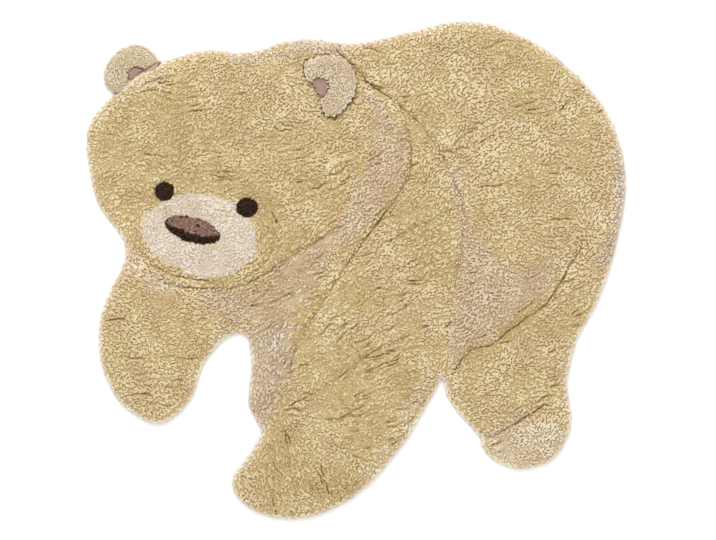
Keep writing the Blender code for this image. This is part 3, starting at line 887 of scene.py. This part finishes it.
def along_hem(solid, tree, pitch, share, size, rng):
    """Spots along a solid's hem, the way out from each, and the place and normal of the solid's side
    beside it, at a share of the pile's height. The places are moved as an even hem would be, whose
    points are the means of the real one's, weighted by exp(-(distance/reach)²)."""
    points, corners = solid
    start, end = hem_edges(points, corners)
    run = end - start
    length = np.linalg.norm(run, axis=1)
    reached = np.cumsum(length)
    middle = (start + end)[:, :2] / 2
    floor = points[:, 2].min()
    thick = np.percentile(points[points[:, 2] > floor + FLAT, 2], PILE_PERCENTILE) - floor
    spots = np.arange(rng.uniform(0, 0.5), reached[-1], pitch)
    spots = spots + rng.uniform(-RIM_JITTER, RIM_JITTER, len(spots)) * pitch
    spots = np.sort(np.clip(spots, 0, reached[-1] - 1e-6))
    edge = np.searchsorted(reached, spots, side="right")
    into = ((spots - (reached[edge] - length[edge])) / length[edge])[:, None]
    hem = start[edge] + into * run[edge]
    out = unit(np.stack([-run[edge][:, 1], run[edge][:, 0], np.zeros(len(edge))], 1))
    apart = np.linalg.norm(hem[:, None, :2] - middle, axis=2)
    weight = np.exp(-(apart / RIM_EVEN) ** 2) * length
    even = (weight[..., None] * middle).sum(1) / weight.sum(1, keepdims=True) - hem[:, :2]
    probe = hem + out * RIM_PROBE * size
    share = np.clip(share + rng.normal(0, RIM_LEVEL_SPREAD, len(edge)), RIM_LOWEST, 1.0)
    probe[:, 2] = floor + thick * share
    found = [tree.find_nearest(spot) for spot in probe.tolist()]
    place = np.array([hit[0][:] for hit in found])
    normal = np.array([hit[1][:] for hit in found])
    place[:, :2] += even
    place[:, 2] = np.maximum(place[:, 2], floor + RIM_RADIUS * size)
    return hem, out, place, normal


def lit(out):
    """How much painted light pales the rim on each side: most at the rug's top edge, which faces the
    key light, and none at its bottom edge.
    """
    return np.clip(LIT_LEVEL + out[:, 1], 0, 1)


def rim_yarns(root, knee, tip, pale, laid, size, rng):
    """The yarns of one row of the rim, thinner than the top's tufts."""
    radius = RIM_RADIUS * size * rng.uniform(*RIM_SPREAD, len(root))
    turn = rng.uniform(0, 2 * math.pi, len(root))
    return yarns_at(root, knee, tip, radius, turn, rng.normal(pale, TONE_SPREAD, len(root)), laid)


def grow_rim(solid, tree, rows, hem_rows, size, rng):
    """The tufts of a pile's rim: rows that rise near the hem and splay out to the solid's side, and
    under them rows of yarns laid along the hem, each from its spot to one further on, bulging a
    little half way, so that the rug ends in an even edge."""
    floor = solid[0][:, 2].min()
    parts = []
    for share, proud, pale in rows:
        hem, out, place, normal = along_hem(solid, tree, RIM_PITCH * size, share, size, rng)
        beside = np.stack([-out[:, 1], out[:, 0], out[:, 2]], 1)
        tip = place + normal * (proud + rng.normal(*RIM_TIP_SPREAD, len(hem)))[:, None] * size
        tip = tip + beside * rng.normal(0, RIM_TIP_ASIDE, len(hem))[:, None] * size
        root = hem - out * RIM_ROOT_INSET * size
        root[:, 2] = floor + RIM_ROOT_HEIGHT * size
        knee = root * (1 - RIM_KNEE) + tip * RIM_KNEE
        knee[:, 2] = root[:, 2] + (tip[:, 2] - root[:, 2]) * RIM_KNEE_HEIGHT + TUFT_SLACK * size
        parts.append(rim_yarns(root, knee, tip, pale + HEM_LIT * lit(out), False, size, rng))
    for share, proud, pale in hem_rows:
        hem, out, place, normal = along_hem(solid, tree, HEM_PITCH * size, share, size, rng)
        sunk = place - normal * (RIM_RADIUS - proud) * size
        after, after_normal = np.roll(sunk, -HEM_RUN, 0), np.roll(normal, -HEM_RUN, 0)
        knee = (sunk + after) / 2 + unit(normal + after_normal) * HEM_BULGE * size
        parts.append(rim_yarns(sunk, knee, after, pale + HEM_LIT * lit(out), True, size, rng))
    return joined(*parts)


def line_spots(lines):
    """Places along clipped lines, a short step apart, and how dark the painted shade at each is.
    The lines fade in and out.
    """
    curves = drawn(lines)
    spots = np.concatenate([line for _, line in curves])
    shade = np.concatenate([np.full(len(line), strength) for strength, line in curves])
    return spots, shade * (FADE_LEAST + FADE_RANGE * np.maximum(0, smooth_noise(spots, FADE_PATCH, 55)))


def edge_spots(solid, out_by, shaded_side):
    """Places just outside a solid's hem, and how dark the painted shade at each is: most where the hem
    faces the shaded side.
    """
    start, end = (corner[:, :2] for corner in hem_edges(*solid))
    run = end - start
    out = unit(np.stack([-run[:, 1], run[:, 0]], 1))
    spots = np.concatenate([start + share * run + out * out_by for share in STUB_STEPS])
    shade = 2.0 * np.clip(0.5 + out @ np.array(shaded_side), 0, 1)
    return spots, np.tile(shade, len(STUB_STEPS))


def in_fold(grown, solid):
    """Opens the pile beside a solid that stands on it and paints the solid's shadow on it. On its
    shaded side no tip comes nearer than the fold's width, and where that side faces straight away from
    the light the tufts are darkened by painted shadow, by 1 - distance/reach."""
    hem = sum(hem_edges(*solid))[:, :2] / 2
    apart = grown["tip"][:, None, :2] - hem
    distance = np.linalg.norm(apart, axis=2)
    nearest = distance.argmin(1)
    gap = distance[np.arange(len(apart)), nearest]
    away = unit(apart[np.arange(len(apart)), nearest])
    slope, offset = FOLD_FACING
    facing = np.clip(slope * (away @ FOLD_SIDE) + offset, 0, 1)
    tone = grown["tone"] - FOLD_SHADE * facing * np.clip(1 - gap / FOLD_REACH, 0, 1)
    kept = gap > FOLD_CLEAR * np.clip(0.5 + away @ FOLD_SHADED, 0, 1)
    return only({**grown, "tone": tone}, kept)


def grow_shade_stubs(solid, tree, places, rng, depth=STUB_DEPTH):
    """Short stubs, close together at the bottom of a clipped line or a fold, dark as painted shade."""
    spots, shade = places
    top = heights(tree, spots)
    kept = (top > 0) & (shade > STUB_LEAST)
    spots, shade, top = spots[kept], shade[kept], top[kept]
    count = len(spots)
    floor = solid[0][:, 2].min() + CLOTH_THICK
    root = np.column_stack([spots, np.maximum(top - TUFT_DEPTH, floor + ROOT_CLEAR)])
    aside = rng.normal(0, STUB_ASIDE, spots.shape)
    tip = np.column_stack([spots + aside, top - depth + rng.normal(0, STUB_UNEVEN, count)])
    radius = STUB_RADIUS * rng.uniform(*STUB_SPREAD, count)
    turn = rng.uniform(0, 2 * math.pi, count)
    tone = -STUB_SHADE * shade * rng.uniform(*STUB_SHADE_SPREAD, count)
    return yarns_at(root, (root + tip) / 2, tip, radius, turn, tone)


def finer(solid, low=-math.inf, high=math.inf):
    """The solid with its edges inside a box, seen from above, cut into shorter ones."""
    points, corners = solid
    work = bmesh.new()
    made = [work.verts.new(p) for p in points]
    for face in corners:
        work.faces.new([made[i] for i in face])
    inside = ((points[:, :2] > low) & (points[:, :2] < high)).all(1)
    work.verts.index_update()
    chosen = [e for e in work.edges if inside[e.verts[0].index] and inside[e.verts[1].index]]
    bmesh.ops.subdivide_edges(work, edges=chosen, cuts=FINE_CUTS, use_grid_fill=True)
    bmesh.ops.triangulate(work, faces=work.faces)
    work.verts.index_update()
    fine = np.array([v.co[:] for v in work.verts])
    faces = np.array([[v.index for v in f.verts] for f in work.faces])
    work.free()
    return fine, faces


def clear_of(grown, tree, gap, above):
    """The tufts whose knee and tip are further than the gap from another solid, or whose tip is no
    higher than the given height, so that the foot of a seam stays filled."""
    far = np.ones(len(grown["tip"]), bool)
    for part in ("knee", "tip"):
        far &= np.array([tree.find_nearest(spot, gap)[0] is None for spot in grown[part].tolist()])
    return only(grown, far | (grown["tip"][:, 2] < above))


def core_of(name, solid, depth, yarn):
    """The pile's core: the solid's own points, lowered by their depths, and at the rim drawn in.
    None comes lower than the ground cloth. Each point has the colour of the yarn that it carries."""
    points, corners = solid
    normals = point_normals(points, corners)
    floor = points[:, 2].min()
    sideways = unit(np.column_stack([normals[:, :2], np.zeros(len(points))]))
    rim = (normals[:, 2] < SIDE_NORMAL)[:, None]
    moved = points - np.where(rim, sideways * RIM_INSET, 0)
    moved[:, 2] = np.maximum(points[:, 2] - depth[:, 0], floor + CLOTH_THICK)
    thing = add_mesh(name, moved, corners)
    colours = np.array([linear(YARNS[known][1]) for known in YARN_NAMES])[yarn]
    layer = thing.data.attributes.new("yarn", "FLOAT_COLOR", "POINT")
    layer.data.foreach_set("color", colours.astype(np.float32).ravel())
    return thing


def add_node(tree, kind, settings=None, links=None):
    """Adds a node, sets its properties and unlinked sockets, and links sockets from other nodes. A
    link is written as socket name: (node, output name or number)."""
    node = tree.nodes.new(kind)
    for key, value in (settings or {}).items():
        if isinstance(key, str) and hasattr(node, key):
            setattr(node, key, value)
        else:
            node.inputs[key].default_value = value
    for socket, (source, output) in (links or {}).items():
        tree.links.new(source.outputs[output], node.inputs[socket])
    return node


def new_material(name):
    """An empty node material and its tree."""
    material = bpy.data.materials.new(name)
    material.use_nodes = True
    material.node_tree.nodes.clear()
    return material, material.node_tree


def cotton_yarn(yarn, bloom):
    """Washed cotton yarn, two plies, cut at the tip. The eye sees a matt, dry surface: no gloss, a
    soft bloom of loose fibres on the pale tips, the plies' slanting grooves, and yarns that took the dye
    a little unlike each other. The colour also carries painted light and shade: each yarn is darker
    towards its root, and where its tone is low it turns a warm brown as if deep in shade."""
    root, body, tip, spread = YARNS[yarn]
    material, tree = new_material(f"cotton_yarn_{yarn}")
    place = add_node(tree, "ShaderNodeTexCoord")
    height = add_node(tree, "ShaderNodeAttribute", {"attribute_name": "height"})
    tone = add_node(tree, "ShaderNodeAttribute", {"attribute_name": "tone"})
    # Darker towards the root: painted shade
    ramp = add_node(tree, "ShaderNodeValToRGB", {}, {"Fac": (height, "Fac")})
    ramp.color_ramp.elements[0].color = linear(root)
    ramp.color_ramp.elements[0].position = 0.1
    ramp.color_ramp.elements[1].color = linear(tip)
    ramp.color_ramp.elements.new(0.6).color = linear(body)
    stain = add_node(tree, "ShaderNodeTexNoise", {"Scale": 1 / (STAIN * MM), "Detail": 2.0},
                     {"Vector": (place, "Object")})
    brighter = add_node(tree, "ShaderNodeMath", {"operation": "MULTIPLY_ADD", 1: spread, 2: 1.0},
                        {0: (tone, "Fac")})
    faded = add_node(tree, "ShaderNodeMath", {"operation": "MULTIPLY_ADD", 1: -0.11, 2: 1.0},
                     {0: (tone, "Fac")})
    pale = add_node(tree, "ShaderNodeHueSaturation", {"Fac": 1.0},
                    {"Color": (ramp, "Color"), "Value": (brighter, 0), "Saturation": (faded, 0)})
    # A low tone mixes in warm brown as painted shade
    depth = add_node(tree, "ShaderNodeMapRange",
                     {"From Min": -1.0, "From Max": -9.0, "To Min": 0.0, "To Max": 0.9},
                     {"Value": (tone, "Fac")})
    shaded = add_node(tree, "ShaderNodeMix", {"data_type": "RGBA", 7: linear("#6E4C28")},
                      {6: (pale, 0), 0: (depth, 0)})
    warmth = add_node(tree, "ShaderNodeMapRange",
                      {"From Min": 0.35, "From Max": 0.65, "To Min": 0.0, "To Max": 0.5},
                      {"Value": (stain, "Fac")})
    washed = add_node(tree, "ShaderNodeMix",
                      {"data_type": "RGBA", "blend_type": "MULTIPLY", 7: linear("#E2C7B2")},
                      {6: (shaded, 2), 0: (warmth, 0)})
    fibre = add_node(tree, "ShaderNodeTexNoise", {"Scale": 1 / (FIBRE * MM), "Detail": 2.0},
                     {"Vector": (place, "Object")})
    winding = add_node(tree, "ShaderNodeUVMap", {"uv_map": "ply"})
    plies = add_node(tree, "ShaderNodeTexWave", {"wave_profile": "SIN", "Scale": WAVE_PERIOD},
                     {"Vector": (winding, "UV")})
    relief = add_node(tree, "ShaderNodeMath", {"operation": "ADD"}, {0: (plies, "Fac"), 1: (fibre, "Fac")})
    bump = add_node(tree, "ShaderNodeBump", {"Strength": 0.7, "Distance": 0.3 * MM}, {"Height": (relief, 0)})
    cloth = add_node(tree, "ShaderNodeBsdfPrincipled",
                     {"Roughness": 0.95, "Specular IOR Level": 0.15, "Sheen Weight": bloom,
                      "Sheen Roughness": 0.6},
                     {"Base Color": (washed, 2), "Normal": (bump, "Normal")})
    add_node(tree, "ShaderNodeOutputMaterial", {}, {"Surface": (cloth, 0)})
    return material


def pile_foot():
    """The foot of the pile, where yarns stand too close to part. It shows the same yarn darkened and
    dulled by painted shade at the bottom of a crack, broken up at the pitch of the tufts."""
    material, tree = new_material("cotton_pile_foot")
    place = add_node(tree, "ShaderNodeTexCoord")
    yarn = add_node(tree, "ShaderNodeAttribute", {"attribute_name": "yarn"})
    spots = add_node(tree, "ShaderNodeTexVoronoi", {"Scale": 1 / (TUFT_PITCH * 0.6 * MM)},
                     {"Vector": (place, "Object")})
    # The yarn darkened as painted shade at the foot of the pile
    dark = add_node(tree, "ShaderNodeMix",
                    {"data_type": "RGBA", "blend_type": "MULTIPLY", 0: 1.0, 7: linear("#CDBC94")},
                    {6: (yarn, "Color")})
    tint = add_node(tree, "ShaderNodeMix", {"data_type": "RGBA"},
                    {6: (yarn, "Color"), 7: (dark, 2), 0: (spots, "Distance")})
    bump = add_node(tree, "ShaderNodeBump", {"Strength": 1.0, "Distance": 1.4 * MM, "invert": True},
                    {"Height": (spots, "Distance")})
    cloth = add_node(tree, "ShaderNodeBsdfPrincipled", {"Roughness": 1.0, "Specular IOR Level": 0.05},
                     {"Base Color": (tint, 2), "Normal": (bump, "Normal")})
    add_node(tree, "ShaderNodeOutputMaterial", {}, {"Surface": (cloth, 0)})
    return material


def plain_weave(name, light, dark, thread, depth):
    """Plain woven cotton. The eye sees a fine even grid, thread over thread, without gloss. Heights
    are the larger of two sine waves, one for the warp and one for the weft."""
    material, tree = new_material(name)
    place = add_node(tree, "ShaderNodeTexCoord")
    bands = [add_node(tree, "ShaderNodeTexWave",
                      {"bands_direction": way, "Scale": WAVE_PERIOD / (2 * thread * MM), "Distortion": 0.6,
                       "Detail": 1.0}, {"Vector": (place, "Object")}) for way in ("X", "Y")]
    woven = add_node(tree, "ShaderNodeMath", {"operation": "MAXIMUM"},
                     {0: (bands[0], "Fac"), 1: (bands[1], "Fac")})
    slub = add_node(tree, "ShaderNodeTexNoise", {"Scale": 1 / (6 * thread * MM), "Detail": 3.0},
                    {"Vector": (place, "Object")})
    shade = add_node(tree, "ShaderNodeMath", {"operation": "MULTIPLY"}, {0: (woven, 0), 1: (slub, "Fac")})
    tint = add_node(tree, "ShaderNodeMix", {"data_type": "RGBA", 6: linear(dark), 7: linear(light)},
                    {0: (shade, 0)})
    bump = add_node(tree, "ShaderNodeBump", {"Strength": 0.7, "Distance": depth * MM}, {"Height": (woven, 0)})
    cloth = add_node(tree, "ShaderNodeBsdfPrincipled",
                     {"Roughness": 0.9, "Specular IOR Level": 0.2, "Sheen Weight": 0.15,
                      "Sheen Roughness": 0.5},
                     {"Base Color": (tint, 2), "Normal": (bump, "Normal")})
    add_node(tree, "ShaderNodeOutputMaterial", {}, {"Surface": (cloth, 0)})
    return material


def place_piece(thing, slot, material, *replaced):
    """Gives a piece its material and its body, and hides the solids that it stands for. Its slot is not used.
    """
    thing.data.materials.append(material)
    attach(thing, "root")
    if replaced:
        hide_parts(*replaced)
    return thing


def make_rug(yarns, foot):
    """The rug's pile: the core, and its tufts split by region and yarn."""
    rng = np.random.default_rng(SEEDS["rug"])
    solid = solid_of("rug")
    tree = tree_of(solid)
    lines = CLIPPED + splits(solid[0].min(0)[:2], solid[0].max(0)[:2], rng)
    grown = joined(grow_top("rug", solid, tree, flow, lines, TUFT_PITCH, 1.0, rng),
                   grow_rim(solid, tree, RIM_ROWS, HEM_ROWS, 1.0, rng))
    grown = clear_of(grown, tree_of(solid_of("ear_left")), SEAM_CLEAR, SEAM_DEEP)
    near_ear = solid_of("ear_right")
    grown = clear_of(grown, tree_of(near_ear), NEAR_EAR_CLEAR, 0)
    grown = in_fold(grown, near_ear)
    stubs = clear_of(grow_shade_stubs(solid, tree, line_spots(lines), rng), tree_of(near_ear), STUB_RADIUS, 0)
    folds = [grow_shade_stubs(solid, tree, edge_spots(near_ear, out_by, FOLD_SHADED), rng) for out_by in FOLD_STUBS]
    grown = joined(grown, stubs, *folds)
    region = region_shares(grown["tip"]).argmin(1)
    yarn = yarn_of(grown["root"] * (1 - SEEN) + grown["tip"] * SEEN, rng)
    yarn[(yarn == 0) & grown["hem"]] = YARN_NAMES.index("pale_honey")
    fine = finer(solid, *FACE_BOX)
    fine_yarn = yarn_of(fine[0], rng)
    faced = np.isin(fine_yarn, [YARN_NAMES.index(name) for name in FACE_YARNS])
    depth = np.where(faced, FACE_DEPTH, CORE_DEPTH)[:, None]
    core = core_of("pile_foot", fine, depth, fine_yarn)
    pieces = [place_piece(core, "honey_pile", foot, "rug")]
    for index, row in enumerate(REGIONS):
        chosen = np.flatnonzero((yarn == 0) & (region == index))
        pieces.append(place_piece(tufts(f"pile_{row[0]}", grown, chosen), "honey_pile", yarns["honey"]))
    for index, name in enumerate(YARN_NAMES[1:], 1):
        chosen = np.flatnonzero(yarn == index)
        if len(chosen):
            pieces.append(place_piece(tufts(f"inlay_{name}", grown, chosen), "honey_pile", yarns[name]))
    return solid, pieces


def make_ear(node, yarns, foot):
    """One ear: its core and tufts, whose rows follow the ear's round edge."""
    rng = np.random.default_rng(SEEDS[node])
    solid = solid_of(node)
    tree = tree_of(solid)
    centre = (solid[0].min(0) + solid[0].max(0))[:2] / 2

    def around(points):
        """Rows run round the ear's centre."""
        rel = points[:, :2] - centre
        firm = np.full(len(points), EAR_HOLD)
        return np.arctan2(rel[:, 1], rel[:, 0]) + math.pi / 2, firm, firm, 0 * firm

    outer = node == "ear_left"
    lines, rows, hem_rows = (EAR_SEAM, RIM_ROWS, HEM_ROWS) if outer else ((), EAR_RIM_ROWS, ())
    grown = joined(grow_top(node, solid, tree, around, lines, TUFT_PITCH * EAR_PITCH, EAR_SIZE, rng),
                   grow_rim(solid, tree, rows, hem_rows, EAR_SIZE, rng))
    grown = clear_of(grown, tree_of(solid_of("rug")), SEAM_CLEAR, SEAM_DEEP)
    lining = solid_of(f"{node}_lining")
    grown = joined(clear_of(grown, tree_of(lining), LINING_CLEAR, 0),
                   grow_shade_stubs(solid, tree, edge_spots(lining, LINING_STUBS, LINING_SHADED), rng))
    if outer:
        grown = joined(grown, grow_shade_stubs(solid, tree, line_spots(EAR_SEAM), rng, SEAM_DEPTH))
    pale = np.full(len(solid[0]), YARN_NAMES.index("ear"))
    depth = np.full((len(pale), 1), EAR_DEPTH)
    core = place_piece(core_of(f"{node}_foot", solid, depth, pale), "ear_pile", foot, node)
    pile = place_piece(tufts(f"{node}_pile", grown, np.arange(len(grown["root"]))), "ear_pile", yarns["ear"])
    return [core, pile]


def make_ground_cloth(solid, material):
    """The rug's ground cloth: the solid's flat underside, given the cloth's thickness."""
    points, corners = solid
    flat, edges = underside(points, corners)
    used = np.unique(flat)
    flat = np.searchsorted(used, flat)
    a, b = np.searchsorted(used, edges).T
    low = points[used]
    high = low + (0, 0, CLOTH_THICK)
    n = len(low)
    wall = np.concatenate([np.stack([b, a, a + n], 1), np.stack([b, a + n, b + n], 1)])
    cloth = add_mesh("ground_cloth", np.concatenate([low, high]),
                     np.concatenate([flat, flat[:, ::-1] + n, wall]), smooth=False)
    return place_piece(cloth, "honey_pile", material)


def make_lining(node, material):
    """An ear's lining: the CAD sheet with finer faces and a shallow, uneven dent, so that it looks
    like cloth sewn down at its edge."""
    solid = solid_of(node)
    fine, faces = finer(solid)
    top = fine[:, 2] > solid[0][:, 2].mean()
    fine[top, 2] += DENT_DEPTH * (smooth_noise(fine[top], DENT_SIZE, 91) - 1)
    return place_piece(add_mesh(f"{node}_cloth", fine, faces), "ear_lining", material, node)


def make_floor():
    """A plain pale studio floor."""
    corners = FLOOR_HALF * np.array([[-1, -1, 0], [1, -1, 0], [1, 1, 0], [-1, 1, 0]])
    floor = add_mesh("floor", corners - (0, 0, FLOOR_DROP), np.array([[0, 1, 2], [0, 2, 3]]), smooth=False)
    material, tree = new_material("pale_studio_floor")
    paint = add_node(tree, "ShaderNodeBsdfPrincipled",
                     {"Base Color": linear("#F4F4F4"), "Roughness": 0.9, "Specular IOR Level": 0.1})
    add_node(tree, "ShaderNodeOutputMaterial", {}, {"Surface": (paint, 0)})
    floor.data.materials.append(material)


def add_light(name, place, size, power):
    """A square soft light that points at the rug's middle."""
    lamp = bpy.data.lights.new(name, "AREA")
    lamp.size = size
    lamp.energy = power
    thing = bpy.data.objects.new(name, lamp)
    thing.location = place
    bpy.context.scene.collection.objects.link(thing)
    ahead = -np.array(place) / np.linalg.norm(place)
    thing.rotation_euler = (math.acos(-ahead[2]), 0, math.atan2(ahead[1], ahead[0]) - math.pi / 2)


def make_studio():
    """Soft light from all round, a larger key light from the picture's top, and the camera."""
    world = bpy.data.worlds.new("studio")
    world.use_nodes = True
    world.node_tree.nodes["Background"].inputs["Color"].default_value = linear("#FFFFFF")
    world.node_tree.nodes["Background"].inputs["Strength"].default_value = 1.0
    bpy.context.scene.world = world
    for light in LIGHTS:
        add_light(*light)
    bpy.context.scene.view_settings.view_transform = "Standard"
    lens = bpy.data.cameras.new("camera")
    lens.sensor_width = SENSOR
    lens.lens = SENSOR * CAMERA_HEIGHT / FRAME_WIDTH
    lens.clip_end = 50.0
    camera = bpy.data.objects.new("camera", lens)
    camera.location = (*FRAME_CENTRE, CAMERA_HEIGHT)
    bpy.context.scene.collection.objects.link(camera)
    bpy.context.scene.camera = camera


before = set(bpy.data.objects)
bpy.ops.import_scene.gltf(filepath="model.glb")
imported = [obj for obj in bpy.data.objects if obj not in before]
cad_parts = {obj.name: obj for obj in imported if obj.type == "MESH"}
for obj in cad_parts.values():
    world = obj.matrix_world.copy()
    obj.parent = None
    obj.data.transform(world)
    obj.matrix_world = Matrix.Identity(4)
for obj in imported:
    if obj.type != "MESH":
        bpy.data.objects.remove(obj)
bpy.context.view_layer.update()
make_studio()
make_floor()
yarns = {name: cotton_yarn(name, 0.05 if name in DARK_YARNS else 0.2) for name in YARNS}
foot = pile_foot()
canvas = plain_weave("cotton_canvas", "#D9CDB4", "#A99A7C", 1.4, 0.5)
pink = plain_weave("pink_cotton_weave", "#B99A90", "#8B6C63", 0.9, 0.3)
rug_solid, pile = make_rug(yarns, foot)
for ear in ("ear_left", "ear_right"):
    pile += make_ear(ear, yarns, foot)
ground = make_ground_cloth(rug_solid, canvas)
linings = [make_lining(node, pink) for node in ("ear_left_lining", "ear_right_lining")]
